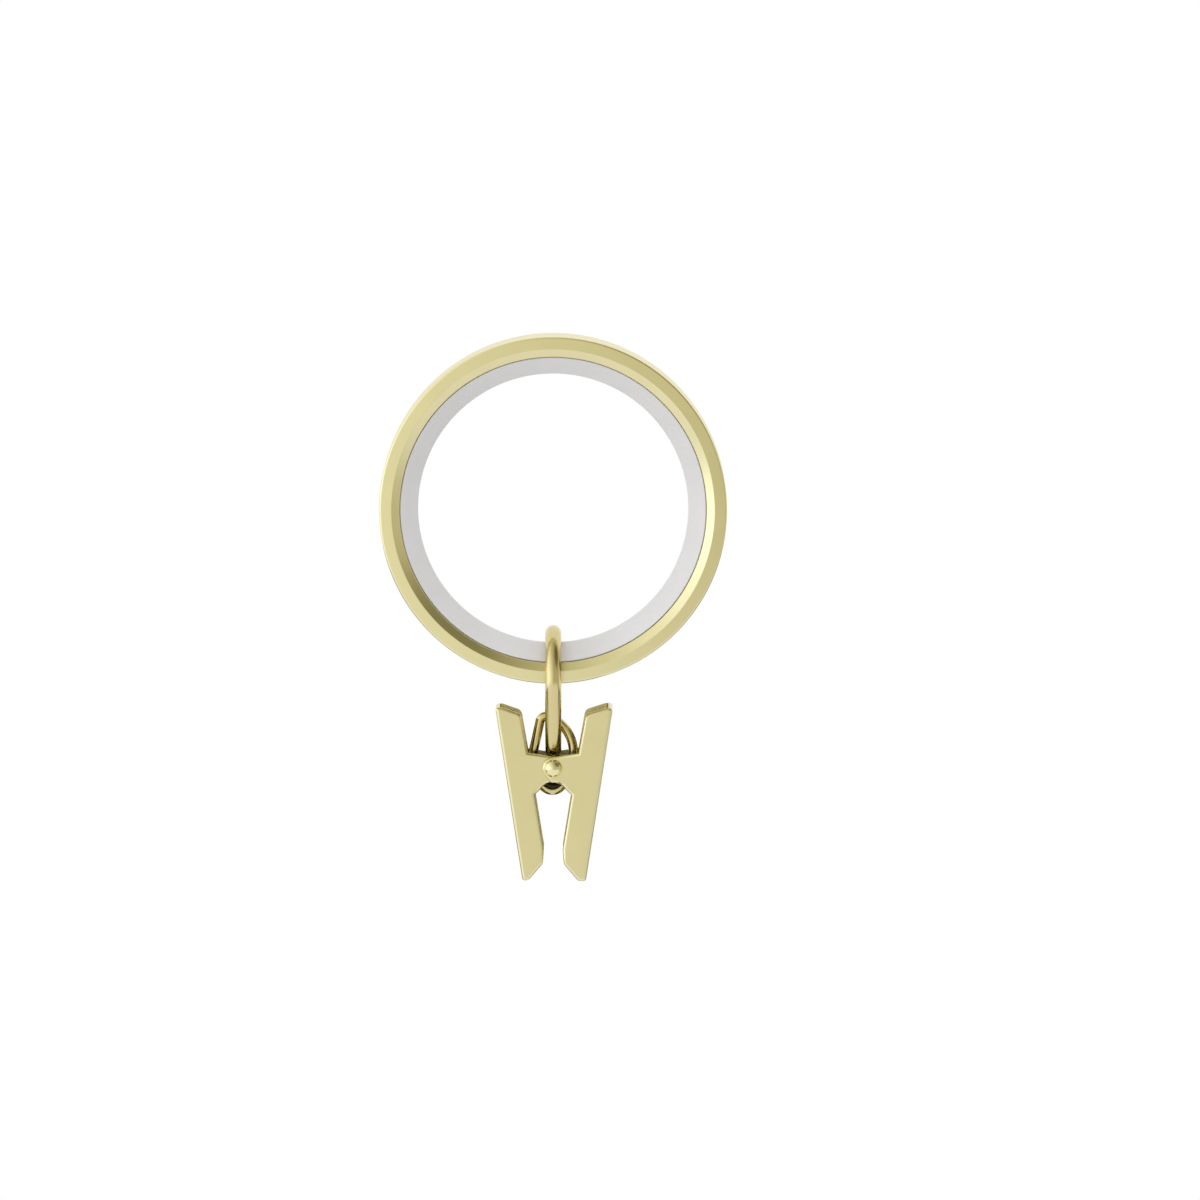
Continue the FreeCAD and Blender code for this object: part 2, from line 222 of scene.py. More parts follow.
def mouldedWhite(look):
    material, tree = newMaterial("moulded_white_acetal")
    place = addNode(tree, "ShaderNodeTexCoord").outputs["Object"]
    cloud = addNode(tree, "ShaderNodeTexNoise", {"Vector": place, "Scale": 1 / look["cloud"] / mm})
    spark = addNode(
        tree,
        "ShaderNodeTexNoise",
        {"Vector": place, "Scale": 1 / look["spark"] / mm, "Detail": look["sparkDetail"]},
    )
    tones = {0: cloud.outputs["Fac"], 6: linear(look["deep"]), 7: linear(look["pale"])}
    tone = addNode(tree, "ShaderNodeMix", tones, data_type="RGBA")
    bump = addNode(
        tree,
        "ShaderNodeBump",
        {"Height": spark.outputs["Fac"], "Strength": look["relief"], "Distance": look["depth"] * mm},
    )
    shader = addNode(
        tree,
        "ShaderNodeBsdfPrincipled",
        {
            "Base Color": tone.outputs[2],
            "Roughness": look["rough"],
            "IOR": look["ior"],
            "Normal": bump.outputs[0],
        },
    )
    addNode(tree, "ShaderNodeOutputMaterial", {"Surface": shader.outputs[0]})
    return material


turnedBrass = satinPlate("satin_brass_turned", satinPlateLook, True)
pressedBrass = satinPlate("satin_brass_pressed", satinPlateLook, False)
rivetBrass = satinPlate("brass_burnished", burnishedLook, False)
wireBrass = wireFinish("drawn_brass_wire", drawnWireLook)
# the spring wire's dark brown colour is painted shade
springWire = wireFinish("spring_wire_painted_shade", springPaintedShadeLook)
whiteLiner = mouldedWhite(mouldedWhiteLook)
print("materials made:", len(bpy.data.materials))


# A corner of a section becomes an arc tangent to both its sides: the arc's centre lies on the bisector at
# radius / sin(half angle), and the directions to it turn evenly from one tangent point to the other. A
# point a little way along each side keeps the flats flat.
def roundedSection(corners, radius, steps=7, hold=0.04):
    corner = np.array(corners, float)
    toLast = np.roll(corner, 1, 0) - corner
    toNext = np.roll(corner, -1, 0) - corner
    toLast /= np.linalg.norm(toLast, axis=1, keepdims=True)
    toNext /= np.linalg.norm(toNext, axis=1, keepdims=True)
    half = np.arccos(np.clip((toLast * toNext).sum(1), -1, 1)) / 2
    radius = np.array(radius, float)
    tangent = (radius / np.tan(half))[:, None]
    bisector = toLast + toNext
    bisector /= np.linalg.norm(bisector, axis=1, keepdims=True)
    centre = corner + bisector * (radius / np.sin(half))[:, None]
    first = corner + toLast * tangent - centre
    last = corner + toNext * tangent - centre
    sweep = (pi - 2 * half)[:, None, None]
    share = np.linspace(0, 1, steps)[None, :, None]
    turned = np.sin((1 - share) * sweep) * first[:, None] + np.sin(share * sweep) * last[:, None]
    arc = centre[:, None] + turned / np.sin(sweep)
    before = (corner + toLast * (tangent + hold))[:, None]
    after = (corner + toNext * (tangent + hold))[:, None]
    return np.concatenate([before, arc, after], 1).reshape(-1, 2)


# A section of (radius, height along the axle) pairs turned about the axle, which lies along Y: each point
# goes to (radius cos angle, height, radius sin angle).
def turnedSurface(section, centre, segments):
    angle = np.linspace(0, 2 * pi, segments, endpoint=False)[None, :]
    radius, height = section[:, :1], section[:, 1:]
    points = np.stack([radius * np.cos(angle), height + 0 * angle, radius * np.sin(angle)], -1)
    return points + np.array(centre)


# A round wire along a path: at each path point the circle lies in the plane across the path's direction,
# spanned by the cross product of that direction with a fixed vector and by the vector across both.
def wireSurface(path, across, radius, sides, closed=False):
    if closed:
        direction = np.roll(path, -1, 0) - np.roll(path, 1, 0)
    else:
        direction = np.gradient(path, axis=0)
    direction /= np.linalg.norm(direction, axis=1, keepdims=True)
    side = np.cross(direction, np.array(across, float))
    side /= np.linalg.norm(side, axis=1, keepdims=True)
    rise = np.cross(side, direction)
    angle = np.linspace(0, 2 * pi, sides, endpoint=False)[None, :, None]
    radius = np.broadcast_to(np.array(radius, float), len(path))[:, None, None]
    return path[:, None] + radius * (np.cos(angle) * side[:, None] + np.sin(angle) * rise[:, None])


poleMerge = 1e-7  # metres within which the points of a pole become one


# A grid of points becomes quads. The second direction always closes on itself, and the first does where
# asked. Where an end of the first shrinks to a pole, its points are merged. UV runs in millimetres along
# both directions.
def gridPiece(name, points, material, closed=False, poles=False):
    rows, cols = points.shape[:2]
    across = np.linalg.norm(np.diff(points, axis=0, append=points[:1]), axis=2).mean(1)
    along = np.linalg.norm(np.diff(points, axis=1, append=points[:, :1]), axis=2).max(0)
    u = np.concatenate([[0], np.cumsum(across)])
    v = np.concatenate([[0], np.cumsum(along)])
    i, j = np.meshgrid(np.arange(rows if closed else rows - 1), np.arange(cols), indexing="ij")
    i, j = i.ravel(), j.ravel()
    cornersI = np.stack([i, i + 1, i + 1, i], 1)
    cornersJ = np.stack([j, j, j + 1, j + 1], 1)
    faces = (cornersI % rows) * cols + cornersJ % cols
    flat = points.reshape(-1, 3)
    a, b, c, d = (flat[faces[:, k]] - flat.mean(0) for k in range(4))
    volume = ((a * np.cross(b, c)).sum() + (a * np.cross(c, d)).sum()) / 6
    if volume < 0:  # inside out, so each face is turned over
        faces, cornersI, cornersJ = faces[:, ::-1], cornersI[:, ::-1], cornersJ[:, ::-1]
    mesh = bpy.data.meshes.new(name)
    mesh.from_pydata(flat * mm, [], faces.tolist())
    layer = mesh.uv_layers.new(name="surface")
    layer.data.foreach_set("uv", np.stack([u[cornersI], v[cornersJ]], -1).astype(np.float32).ravel())
    mesh.materials.append(material)
    if poles:
        work = bmesh.new()
        work.from_mesh(mesh)
        bmesh.ops.remove_doubles(work, verts=work.verts, dist=poleMerge)
        work.to_mesh(mesh)
        work.free()
    mesh.polygons.foreach_set("use_smooth", np.ones(len(mesh.polygons), bool))
    mesh.update()
    piece = bpy.data.objects.new(name, mesh)
    scene.collection.objects.link(piece)
    return piece


# Curtain ring: a turned brass band, with a face that falls away a little to its outer edge, a bevel down to
# the lip and a groove for the liner.
ring = {
    "outer": 23.0,
    "faceInner": 21.35,
    "lip": 20.3,
    "groove": 21.7,
    "halfDepth": 4.0,
    "faceFall": 0.14,
    "lipDepth": 3.2,
    "grooveDepth": 2.5,
    "edge": 0.3,  # rounds, from the outer edge inwards
    "bevelEdge": 0.12,
    "lipEdge": 0.14,
    "grooveEdge": 0.1,
    "segments": 288,
}


def metalRing(size):
    front = [
        (size["outer"], size["faceFall"] - size["halfDepth"]),
        (size["faceInner"], -size["halfDepth"]),
        (size["lip"], -size["lipDepth"]),
        (size["lip"], -size["grooveDepth"]),
        (size["groove"], -size["grooveDepth"]),
    ]
    back = [(r, -y) for r, y in reversed(front)]
    radius = [size[key] for key in ("edge", "bevelEdge", "lipEdge", "grooveEdge", "grooveEdge")]
    section = roundedSection(front + back, radius + radius[::-1])
    points = turnedSurface(section, (0, 0, 0), size["segments"])
    return gridPiece("ring_band", points, turnedBrass, True)


band = metalRing(ring)
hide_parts("metal_ring")
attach(band, "ring")

# Liner: a moulded ring that clips into the groove, with slopes that rise to a narrow land at the middle.
liner = {
    "bore": 17.9,
    "land": 0.5,
    "shoulder": 20.25,
    "shoulderDepth": 3.15,
    "root": 21.65,
    "rootDepth": 2.45,
    "rootEdge": 0.1,  # rounds, from the groove inwards
    "stepEdge": 0.05,
    "edge": 0.12,
    "boreEdge": 0.25,
    "segments": 288,
}


def glideLiner(size):
    front = [
        (size["root"], -size["rootDepth"]),
        (size["shoulder"], -size["rootDepth"]),
        (size["shoulder"], -size["shoulderDepth"]),
        (size["bore"], -size["land"]),
    ]
    back = [(r, -y) for r, y in reversed(front)]
    radius = [size[key] for key in ("rootEdge", "stepEdge", "edge", "boreEdge")]
    section = roundedSection(front + back, radius + radius[::-1])
    points = turnedSurface(section, (0, 0, 0), size["segments"])
    return gridPiece("ring_liner", points, whiteLiner, True)


lining = glideLiner(liner)
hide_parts("glide_liner")
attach(lining, "ring")
print("ring and liner turned")

# Hanging link: round wire bent to a pear, its two ends butted at the back of the crown.
hangingLink = {
    "wire": 1.075,
    "crown": 5.5,
    "crownDrop": 22.205,
    "foot": 1.7,
    "footDrop": 30.505,
    "seamAt": 0.3,  # share of the way round, from the foot of the rear side
    "seamDepth": 0.1,
    "seamWidth": 0.06,
    "points": 420,
    "sides": 40,
}


# A closed path of lines and arcs: each leg is a function of its share from 0 to 1, and the points are
# spread evenly by length.
def evenPath(legs, count, legPoints=400):
    share = np.linspace(0, 1, legPoints)[:, None]
    rough = np.concatenate([leg(share)[:-1] for leg in legs])
    rough = np.concatenate([rough, rough[:1]])
    length = np.concatenate([[0], np.cumsum(np.linalg.norm(np.diff(rough, axis=0), axis=1))])
    even = np.linspace(0, length[-1], count, endpoint=False)
    return np.stack([np.interp(even, length, rough[:, k]) for k in range(3)], 1)


def straight(first, last):
    return lambda share: first + (last - first) * share


# An arc about a centre in the plane of two unit vectors: centre + radius (across cos + up sin).
def arc(centre, across, up, radius, first, last):
    def leg(share):
        angle = first + (last - first) * share
        return centre + radius * (np.cos(angle) * across + np.sin(angle) * up)

    return leg


# The pear's straight sides touch both arcs, so they lean by asin((crown - foot) / distance). The seam is a
# groove of the shape exp(-(distance / width)^2).
def pearLink(size):
    across, up = np.array([0, 1.0, 0]), np.array([0, 0, 1.0])
    crownAt, footAt = -up * size["crownDrop"], -up * size["footDrop"]
    lean = np.arcsin((size["crown"] - size["foot"]) / (size["footDrop"] - size["crownDrop"]))
    rear = across * cos(lean) - up * sin(lean)
    front = -across * cos(lean) - up * sin(lean)
    legs = [
        straight(footAt + rear * size["foot"], crownAt + rear * size["crown"]),
        arc(crownAt, across, up, size["crown"], -lean, pi + lean),
        straight(crownAt + front * size["crown"], footAt + front * size["foot"]),
        arc(footAt, across, up, size["foot"], pi + lean, 2 * pi - lean),
    ]
    path = evenPath(legs, size["points"])
    length = np.linalg.norm(np.diff(path, axis=0, append=path[:1]), axis=1).sum()
    gap = (np.arange(size["points"]) / size["points"] - size["seamAt"]) * length
    radius = size["wire"] - size["seamDepth"] * np.exp(-((gap / size["seamWidth"]) ** 2))
    points = wireSurface(path, (1, 0, 0), radius, size["sides"], True)
    return gridPiece("hanging_wire", points, wireBrass, True)


wire = pearLink(hangingLink)
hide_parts("hanging_link")
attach(wire, "link")

# Oval link: thinner wire round the pin, lopsided, with a straight left side, a tight corner and a wide
# crown over to the right. Places are from the pin.
ovalLink = {
    "wire": 0.625,
    "end": 1.5,
    "endAt": (-0.13, -1.87),
    "rightAt": (2.65, 1.77),
    "leftAt": (-2.85, 0.43),
    "crown": 5.05,
    "corner": 0.85,
    "lean": 12.2,
    "pinDrop": 34.33,
    "points": 300,
    "sides": 28,
}


# Each flank is an arc that is upright at its widest and touches the round end, so its radius is
# (w^2 + h^2 - e^2) / (2 (w - e)) for the end's offset w, h from that point. The corner touches the straight
# side and the crown.
def leaningOval(size):
    across, up = np.array([1.0, 0, 0]), np.array([0, 0, 1.0])
    pinAt = -up * size["pinDrop"]
    end, crown, corner, lean = size["end"], size["crown"], size["corner"], radians(size["lean"])
    endAt, rightAt, leftAt = (
        pinAt + across * size[key][0] + up * size[key][1] for key in ("endAt", "rightAt", "leftAt")
    )

    def flank(wide, high):
        return (wide * wide + high * high - end * end) / (2 * (wide - end))

    def angleTo(first, last):
        return np.arctan2((last - first)[2], (last - first)[0])

    rightFlank = flank(*(rightAt - endAt)[[0, 2]])
    leftFlank = flank((endAt - leftAt)[0], (leftAt - endAt)[2])
    rightMid, leftMid = rightAt - across * rightFlank, leftAt + across * leftFlank
    crownMid = rightAt - across * crown
    inwards = across * cos(lean) - up * sin(lean)
    upwards = across * sin(lean) + up * cos(lean)
    sideFoot = leftMid - inwards * leftFlank
    offset = sideFoot + inwards * corner - crownMid
    along = offset @ upwards
    rise = sqrt((crown - corner) ** 2 - offset @ offset + along**2) - along
    cornerMid = sideFoot + inwards * corner + upwards * rise
    crownFrom = angleTo(crownMid, cornerMid)
    rightTo, leftTo = angleTo(rightMid, endAt), angleTo(leftMid, endAt)
    legs = [
        straight(sideFoot, sideFoot + upwards * rise),
        arc(cornerMid, across, up, corner, pi - lean, crownFrom),
        arc(crownMid, across, up, crown, crownFrom, 0),
        arc(rightMid, across, up, rightFlank, 0, rightTo),
        arc(endAt, across, up, end, rightTo, leftTo),
        arc(leftMid, across, up, leftFlank, leftTo + 2 * pi, pi - lean),
    ]
    path = evenPath(legs, size["points"])
    points = wireSurface(path, (0, 1, 0), size["wire"], size["sides"], True)
    return gridPiece("oval_wire", points, wireBrass, True)


oval = leaningOval(ovalLink)
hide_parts("oval_link")
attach(oval, "oval")
print("links bent")

# Jaws: the pressed channels keep their solids' shape, with the bends struck tighter and the round that
# tumbling leaves on the outer edges.
jawSheet = {
    "bend": 0.75,  # outer radius of the solid's bends
    "tighter": 0.56,  # share of it that the bends are struck to
    "crestRise": 7.98,  # from the pin up to the handle's crest
    "pinDrop": 34.33,
    "webLean": 0.155709,
    "edge": 0.38,  # round of the outer edges
    "holeShare": 0.1,  # share of that round at the pin's hole
    "holeClear": 1.0,  # the hole's rim lies this near the pin
    "sharp": 32.0,  # degrees between faces, above which an edge is rounded
    "segments": 4,
    "nearBend": 0.03,  # how near a point counts as on a bend, and on a flat
    "nearFlat": 0.02,
    "merge": 0.002,
    "flat": 0.6,  # degrees within which faces become one
    "flatWeight": 90,
}
leftJaw = {"node": "inner_jaw", "name": "left_jaw_sheet", "side": -1, "crestReach": 7.7, "halfDepth": 2.84}
rightJaw = {"node": "outer_jaw", "name": "right_jaw_sheet", "side": 1, "crestReach": 7.92, "halfDepth": 3.5}


# The web's outer face is a line that leans inwards from the crest down. A point lies in from the web by one
# length and in from the cheek by another, and it is on the bend where it lies on the circle that touches both.
def placeInSheet(x, y, z, jaw, size):
    web = jaw["crestReach"] - size["webLean"] * (size["crestRise"] - z - size["pinDrop"])
    fromWeb, fromCheek = web - jaw["side"] * x, jaw["halfDepth"] - np.abs(y)
    radius = size["bend"]
    onBend = np.abs(np.hypot(radius - fromWeb, radius - fromCheek) - radius) < size["nearBend"]
    return web, fromWeb, fromCheek, onBend


# Scaling both lengths of a point on the bend moves it to a smaller circle that touches web and cheek too.
def tighterBend(points, jaw, size):
    x, y, z = points.T
    web, fromWeb, fromCheek, onBend = placeInSheet(x, y, z, jaw, size)
    limit = size["bend"] + size["nearFlat"]
    onBend &= (fromWeb < limit) & (fromCheek < limit)
    share = np.where(onBend, size["tighter"], 1.0)
    reach = jaw["side"] * (web - fromWeb * share)
    depth = np.sign(y) * (jaw["halfDepth"] - fromCheek * share)
    return np.stack([reach, depth, z], 1)


# An edge of the outer skin gets the whole round, the rim of the pin's hole a share, and an inner edge none.
def edgeShare(edge, jaw, size):
    x, y, z = np.array([vert.co for vert in edge.verts]).T / mm
    if np.hypot(x, z + size["pinDrop"]).max() < size["holeClear"]:
        return size["holeShare"]
    fromWeb, fromCheek, onBend = placeInSheet(x, y, z, jaw, size)[1:]
    outside = onBend | (fromWeb < size["nearFlat"]) | (fromCheek < size["nearFlat"])
    return 1.0 if outside.all() else 0.0


def pressedJaw(jaw, size):
    node, name = jaw["node"], jaw["name"]
    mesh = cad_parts[node].data.copy()
    mesh.name = name
    work = bmesh.new()
    work.from_mesh(mesh)
    bmesh.ops.remove_doubles(work, verts=work.verts, dist=size["merge"] * mm)
    bmesh.ops.dissolve_limit(work, angle_limit=radians(size["flat"]), verts=work.verts, edges=work.edges)
    weight = work.edges.layers.float.new("bevel_weight_edge")
    for edge in work.edges:
        if len(edge.link_faces) == 2 and edge.calc_face_angle() > radians(size["sharp"]):
            edge[weight] = edgeShare(edge, jaw, size)
    for face in work.faces:
        face.smooth = True
    work.to_mesh(mesh)
    work.free()
    points = np.empty(len(mesh.vertices) * 3, np.float32)
    mesh.vertices.foreach_get("co", points)
    points = tighterBend(points.reshape(-1, 3) / mm, jaw, size) * mm
    mesh.vertices.foreach_set("co", points.astype(np.float32).ravel())
    mesh.materials.clear()
    mesh.materials.append(pressedBrass)
    piece = bpy.data.objects.new(name, mesh)
    scene.collection.objects.link(piece)
    tumbled = piece.modifiers.new("tumbled", "BEVEL")
    tumbled.width = size["edge"] * mm
    tumbled.segments = size["segments"]
    tumbled.limit_method = "WEIGHT"
    tumbled.use_clamp_overlap = False
    flats = piece.modifiers.new("flat_faces", "WEIGHTED_NORMAL")
    flats.weight = size["flatWeight"]
    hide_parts(node)
    return piece


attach(pressedJaw(rightJaw, jawSheet), "right_jaw")
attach(pressedJaw(leftJaw, jawSheet), "left_jaw")

# Rivet: a pin with a dome headed over each end.
rivet = {
    "pin": 0.5,
    "head": 1.17,
    "rim": 0.12,
    "dome": 0.75,
    "seat": 3.54,
    "edge": 0.06,  # break of the head's lower edge
    "root": 0.05,  # break where the head meets the pin
    "centre": (0, 0, -34.33),
    "capPoints": 18,
    "segments": 96,
}


# The dome is a cap of the sphere through its rim and its top: radius (rim^2 + height^2) / (2 height).
def headedRivet(size):
    head, rim, dome, seat, pin = (size[key] for key in ("head", "rim", "dome", "seat", "pin"))
    edge, root = size["edge"], size["root"]
    ball = (head**2 + dome**2) / (2 * dome)
    top = seat + rim + dome
    tilt = np.linspace(0, acos((ball - dome) / ball), size["capPoints"])
    cap = np.stack([ball * np.sin(tilt), top - ball + ball * np.cos(tilt)], 1)
    under = np.array(
        [
            (head, seat + rim / 2),
            (head - edge / 3, seat + edge / 6),
            (head - edge, seat),
            (pin + root, seat),
            (pin, seat - root),
        ]
    )
    half = np.concatenate([cap, under])
    section = np.concatenate([half, half[::-1] * (1, -1)])
    points = turnedSurface(section, size["centre"], size["segments"])
    return gridPiece("headed_rivet", points, rivetBrass, False, True)


pin = headedRivet(rivet)
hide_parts("pivot_rivet")
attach(pin, "clip")
print("jaws and rivet made")

# Torsion spring: two coils hung on the pin, an arm from each up to the left jaw's web and one bow that
# joins them against the right jaw's web.
spring = {
    "wire": 0.3,
    "coil": 1.7,
    "centre": (0, -35.18),
    "outerY": 1.85,
    "innerY": 1.19,
    "armTip": (-6.297, -28.73),
    "bowTip": (6.517, -28.73),
    "bowBend": 0.7,
    "cutEdge": 0.12,  # round of the arms' cut ends
    "coilPoints": 150,
    "legPoints": 40,
    "bendPoints": 12,
    "cutPoints": 5,
    "sides": 20,
}
tipGap = 1e-4  # the point that closes a cut end stands this far out


# The angle, in degrees, at which a straight wire to a tip leaves the coil: the direction to the tip less the
# turn whose cosine is coil / distance.
def leaveAngle(size, tip):
    x, z = abs(tip[0] - size["centre"][0]), tip[1] - size["centre"][1]
    return np.degrees(np.arctan2(z, x) - np.arccos(size["coil"] / np.hypot(x, z)))


# A coil's point at an angle is centre + coil (cos, sin), and it moves inwards along the pin, half evenly and
# half with eased ends, as the angle goes once round from the bottom. Side is -1 in front and 1 at the rear.
def coilPath(size, side):
    start, stop = 180 - leaveAngle(size, size["armTip"]), 720 + leaveAngle(size, size["bowTip"])
    angle = np.linspace(start, stop, size["coilPoints"])
    share = np.clip((angle - 270) / 360, 0, 1)
    share = share * share * (3 - 2 * share) * 0.5 + share * 0.5
    y = side * (size["outerY"] - (size["outerY"] - size["innerY"]) * share)
    x = size["centre"][0] + size["coil"] * np.cos(np.radians(angle))
    z = size["centre"][1] + size["coil"] * np.sin(np.radians(angle))
    return np.stack([x, y, z], 1)


def coilPiece(size, side, name):
    points = wireSurface(coilPath(size, side), (0, 1, 0), size["wire"], size["sides"])
    return gridPiece(name, points, springWire)


# The path of an open wire with its last end cut flat and its rim rounded: the circle shrinks over the last
# points by a quarter turn of the rim's round, and closes at the tip.
def cutEnd(path, size):
    radius, edge = size["wire"], size["cutEdge"]
    turn = np.linspace(0, pi / 2, size["cutPoints"])
    away = (path[-1] - path[-2]) / np.linalg.norm(path[-1] - path[-2])
    lead = path[-1] - away * edge * (1 - np.sin(turn))[:, None]
    radii = np.concatenate([np.full(len(path) - 1, radius), radius - edge * (1 - np.cos(turn)), [0]])
    return np.concatenate([path[:-1], lead, path[-1:] + away * tipGap]), radii


def armPiece(size, side, name):
    foot = coilPath(size, side)[0]
    tip = np.array([size["armTip"][0], foot[1], size["armTip"][1]])
    path = foot + (tip - foot) * np.linspace(0, 1, size["legPoints"])[:, None]
    path, radii = cutEnd(path, size)
    points = wireSurface(path, (0, 1, 0), radii, size["sides"])
    return gridPiece(name, points, springWire, False, True)


# The bow goes up from the front coil, turns a quarter on its bend, runs along the pin's direction and
# comes down the same way to the rear coil.
def bowPiece(size, name):
    foot = coilPath(size, -1)[-1]
    top = np.array([size["bowTip"][0], foot[1], size["bowTip"][1]])
    rise = (top - foot) / np.linalg.norm(top - foot)
    along = np.array([0, 1.0, 0])
    bend = size["bowBend"]
    length = np.linalg.norm(top - foot) - bend
    stem = foot + rise * np.linspace(0, length, size["legPoints"])[:, None]
    turn = np.linspace(0, pi / 2, size["bendPoints"])[1:, None]
    quarter = stem[-1] + along * bend * (1 - np.cos(turn)) + rise * bend * np.sin(turn)
    half = np.concatenate([stem, quarter])
    path = np.concatenate([half, half[::-1] * (1, -1, 1)])
    points = wireSurface(path, np.cross(rise, along), size["wire"], size["sides"])
    return gridPiece(name, points, springWire)


frontCoil = coilPiece(spring, -1, "spring_coil_front")
rearCoil = coilPiece(spring, 1, "spring_coil_rear")
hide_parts("torsion_spring")
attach(frontCoil, "clip")
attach(rearCoil, "clip")
bow = bowPiece(spring, "spring_bow")
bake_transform(bow)
for side, name in ((-1, "spring_arm_front"), (1, "spring_arm_rear")):
    arm = armPiece(spring, side, name)
    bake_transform(arm)
print("spring wound")

# Studio: a white floor under soft light. The light that the metal mirrors falls from the left to the right
# and from the horizon up, is dim at the upper right, and is white again behind.
studio = {
    "floor": -120.0,
    "reach": 330.0,
    "floorMatt": "#F6F6F6",
    "nearFloor": 70.0,  # from the object, where the floor starts to lose its shadow
    "farFloor": 140.0,
    "floorLeft": 1.18,  # level of the mirrored floor at its left end
    "floorRight": 1.0,
    "floorTint": "#F3F4FF",
    "floorEnd": 300.0,
    "rearLean": 3.0,  # the mirrored floor darkens along |x| + lean y, to the sides at the rear
    "nearRim": 60.0,
    "farRim": 250.0,
    "rimShare": 0.25,
    "fill": 0.72,  # level of the light on what is matt
    "leftEnd": -0.9,  # sideways share of the direction
    "leftLevel": 1.5,
    "rightEnd": 0.22,
    "rightLevel": 0.605,
    "lowUp": 0.1,  # upward share of the direction
    "highUp": 0.9,
    "highShare": 0.72,
    "frontEnd": -0.1,  # rearward share of the direction
    "rearEnd": 0.25,
    "dimTowards": (63.0, 41.0),  # degrees right of the camera, degrees up
    "dimInner": 8.0,
    "dimOuter": 34.0,
    "dimShare": 0.36,
    "warm": "#FFF3B2",  # tint of the dimmest light
}
plainWhite = (1, 1, 1, 1)


# The direction that lies so many degrees right of the camera, seen from the object, and so many up.
def towards(right, up):
    right, up = radians(right), radians(up)
    return Vector((sin(right) * cos(up), -cos(right) * cos(up), sin(up)))


def whiteFloor(size):
    mesh = bpy.data.meshes.new("floor")
    reach, z = size["reach"] * mm, size["floor"] * mm
    corners = [(-reach, -reach, z), (reach, -reach, z), (reach, reach, z), (-reach, reach, z)]
    mesh.from_pydata(corners, [], [(0, 1, 2, 3)])
    material, tree = newMaterial("white_floor")
    place = addNode(tree, "ShaderNodeTexCoord").outputs["Object"]
    level = addNode(tree, "ShaderNodeVectorMath", {0: place, 1: (1, 1, 0)}, operation="MULTIPLY")
    away = addNode(tree, "ShaderNodeVectorMath", {0: level.outputs[0]}, operation="LENGTH")
    far = addNode(
        tree,
        "ShaderNodeMapRange",
        {"Value": away.outputs["Value"], "From Min": size["nearFloor"] * mm, "From Max": size["farFloor"] * mm},
        interpolation_type="SMOOTHSTEP",
    )
    axes = addNode(tree, "ShaderNodeSeparateXYZ", {0: place}).outputs
    aside = addNode(tree, "ShaderNodeMath", {0: axes["X"]}, operation="ABSOLUTE")
    rearward = addNode(
        tree,
        "ShaderNodeMath",
        {0: axes["Y"], 1: size["rearLean"], 2: aside.outputs[0]},
        operation="MULTIPLY_ADD",
    )
    rim = addNode(
        tree,
        "ShaderNodeMapRange",
        {
            "Value": rearward.outputs[0],
            "From Min": size["nearRim"] * mm,
            "From Max": size["farRim"] * mm,
            "To Min": 1.0,
            "To Max": size["rimShare"],
        },
        interpolation_type="SMOOTHSTEP",
    )
    across = addNode(
        tree,
        "ShaderNodeMapRange",
        {
            "Value": axes["X"],
            "From Min": -size["floorEnd"] * mm,
            "From Max": size["floorEnd"] * mm,
            "To Min": size["floorLeft"],
            "To Max": size["floorRight"],
        },
    )
    # For glossy rays the floor glows: a painted reflection of studio light, brighter to the left and dimmer to the
    # sides at the rear.
    bounce = addNode(tree, "ShaderNodeMath", {0: rim.outputs[0], 1: across.outputs[0]}, operation="MULTIPLY")
    path = addNode(tree, "ShaderNodeLightPath").outputs
    direct = addNode(tree, "ShaderNodeMath", {0: path["Is Camera Ray"], 1: far.outputs[0]}, operation="MULTIPLY")
    glossy = path["Is Glossy Ray"]
    share = addNode(tree, "ShaderNodeMath", {0: glossy, 1: direct.outputs[0]}, operation="MAXIMUM")
    shine = addNode(tree, "ShaderNodeMix", {0: glossy, 2: 1.0, 3: bounce.outputs[0]})
    tints = {0: glossy, 6: plainWhite, 7: linear(size["floorTint"])}
    tint = addNode(tree, "ShaderNodeMix", tints, data_type="RGBA")
    matt = addNode(tree, "ShaderNodeBsdfDiffuse", {"Color": linear(size["floorMatt"])})
    white = addNode(tree, "ShaderNodeEmission", {"Color": tint.outputs[2], "Strength": shine.outputs[0]})
    mixed = addNode(tree, "ShaderNodeMixShader", {0: share.outputs[0], 1: matt.outputs[0], 2: white.outputs[0]})
    addNode(tree, "ShaderNodeOutputMaterial", {"Surface": mixed.outputs[0]})
    mesh.materials.append(material)
    floor = bpy.data.objects.new("floor", mesh)
    scene.collection.objects.link(floor)


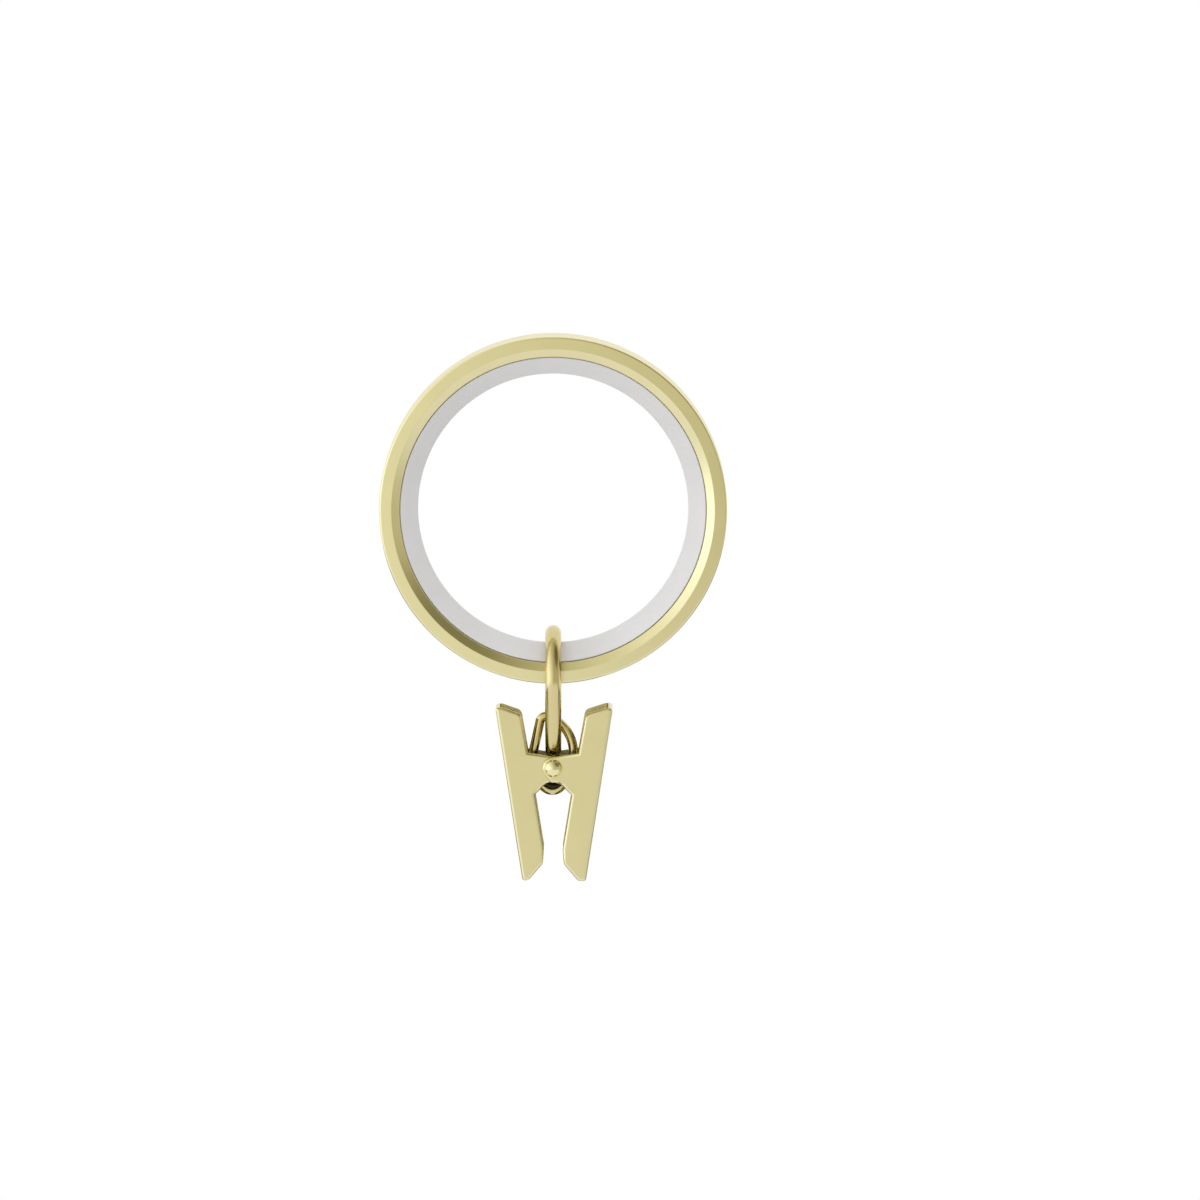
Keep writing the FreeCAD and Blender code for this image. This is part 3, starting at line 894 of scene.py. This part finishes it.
def softWorld(size):
    world = bpy.data.worlds.new("studio")
    scene.world = world
    world.use_nodes = True
    tree = world.node_tree
    tree.nodes.clear()
    aim = addNode(tree, "ShaderNodeTexCoord").outputs["Generated"]
    axes = addNode(tree, "ShaderNodeSeparateXYZ", {0: aim}).outputs
    fall = addNode(
        tree,
        "ShaderNodeMapRange",
        {
            "Value": axes["X"],
            "From Min": size["leftEnd"],
            "From Max": size["rightEnd"],
            "To Min": size["leftLevel"],
            "To Max": size["rightLevel"],
        },
    )
    near = addNode(tree, "ShaderNodeVectorMath", {0: aim, 1: towards(*size["dimTowards"])}, operation="DOT_PRODUCT")
    dim = addNode(
        tree,
        "ShaderNodeMapRange",
        {
            "Value": near.outputs["Value"],
            "From Min": cos(radians(size["dimOuter"])),
            "From Max": cos(radians(size["dimInner"])),
            "To Min": 1.0,
            "To Max": size["dimShare"],
        },
        interpolation_type="SMOOTHSTEP",
    )
    high = addNode(
        tree,
        "ShaderNodeMapRange",
        {
            "Value": axes["Z"],
            "From Min": size["lowUp"],
            "From Max": size["highUp"],
            "To Min": 1.0,
            "To Max": size["highShare"],
        },
    )
    front = addNode(tree, "ShaderNodeMath", {0: fall.outputs[0], 1: dim.outputs[0]}, operation="MULTIPLY")
    front = addNode(tree, "ShaderNodeMath", {0: front.outputs[0], 1: high.outputs[0]}, operation="MULTIPLY")
    behind = addNode(
        tree,
        "ShaderNodeMapRange",
        {"Value": axes["Y"], "From Min": size["frontEnd"], "From Max": size["rearEnd"]},
        interpolation_type="SMOOTHSTEP",
    )
    mirrored = addNode(tree, "ShaderNodeMix", {0: behind.outputs[0], 2: front.outputs[0], 3: 1.0})
    path = addNode(tree, "ShaderNodeLightPath").outputs
    glossy = path["Is Glossy Ray"]
    light = addNode(tree, "ShaderNodeMix", {0: glossy, 2: size["fill"], 3: mirrored.outputs[0]})
    rays = {0: path["Is Camera Ray"], 1: path["Is Transmission Ray"]}
    direct = addNode(tree, "ShaderNodeMath", rays, operation="MAXIMUM")
    strength = addNode(tree, "ShaderNodeMix", {0: direct.outputs[0], 2: light.outputs[0], 3: 1.0})
    # dim light is warm and bright light cool: the tint goes to white as the level goes to one, and past it
    tints = {0: mirrored.outputs[0], 6: linear(size["warm"]), 7: plainWhite}
    tint = addNode(tree, "ShaderNodeMix", tints, data_type="RGBA", clamp_factor=False)
    colour = addNode(tree, "ShaderNodeMix", {0: glossy, 6: plainWhite, 7: tint.outputs[2]}, data_type="RGBA")
    back = addNode(tree, "ShaderNodeBackground", {"Color": colour.outputs[2], "Strength": strength.outputs[0]})
    addNode(tree, "ShaderNodeOutputWorld", {"Surface": back.outputs[0]})


# The lamps light what is matt. The metal mirrors only the world and the floor. Distances here are in metres.
lamps = {
    "left_softbox": {"from": (-72, 2), "away": 0.6, "size": 0.4, "watts": 0.7},
    "top_softbox": {"from": (-25, 70), "away": 0.8, "size": 0.8, "watts": 1.9},
}
lampTarget = (0, 0, -0.015)


def placeLamps(lamps, target):
    for name, size in lamps.items():
        data = bpy.data.lights.new(name, "AREA")
        data.size = size["size"]
        data.energy = size["watts"]
        lamp = bpy.data.objects.new(name, data)
        lamp.visible_glossy = False
        scene.collection.objects.link(lamp)
        lamp.location = target + towards(*size["from"]) * size["away"]
        lamp.rotation_euler = (target - lamp.location).to_track_quat("-Z", "Y").to_euler()


camera = {
    "target": (6.2, 0, -12.26),
    "up": 6.0,  # degrees
    "away": 1.2,  # metres
    "lens": 271.4,
    "sensor": 36,
}


def placeCamera(size):
    data = bpy.data.cameras.new("camera")
    data.lens = size["lens"]
    data.sensor_width = size["sensor"]
    eye = bpy.data.objects.new("camera", data)
    scene.collection.objects.link(eye)
    target = Vector(size["target"]) * mm
    eye.location = target + towards(0, size["up"]) * size["away"]
    eye.rotation_euler = (target - eye.location).to_track_quat("-Z", "Y").to_euler()
    scene.camera = eye


whiteFloor(studio)
softWorld(studio)
placeLamps(lamps, Vector(lampTarget))
placeCamera(camera)
print("studio and camera placed")
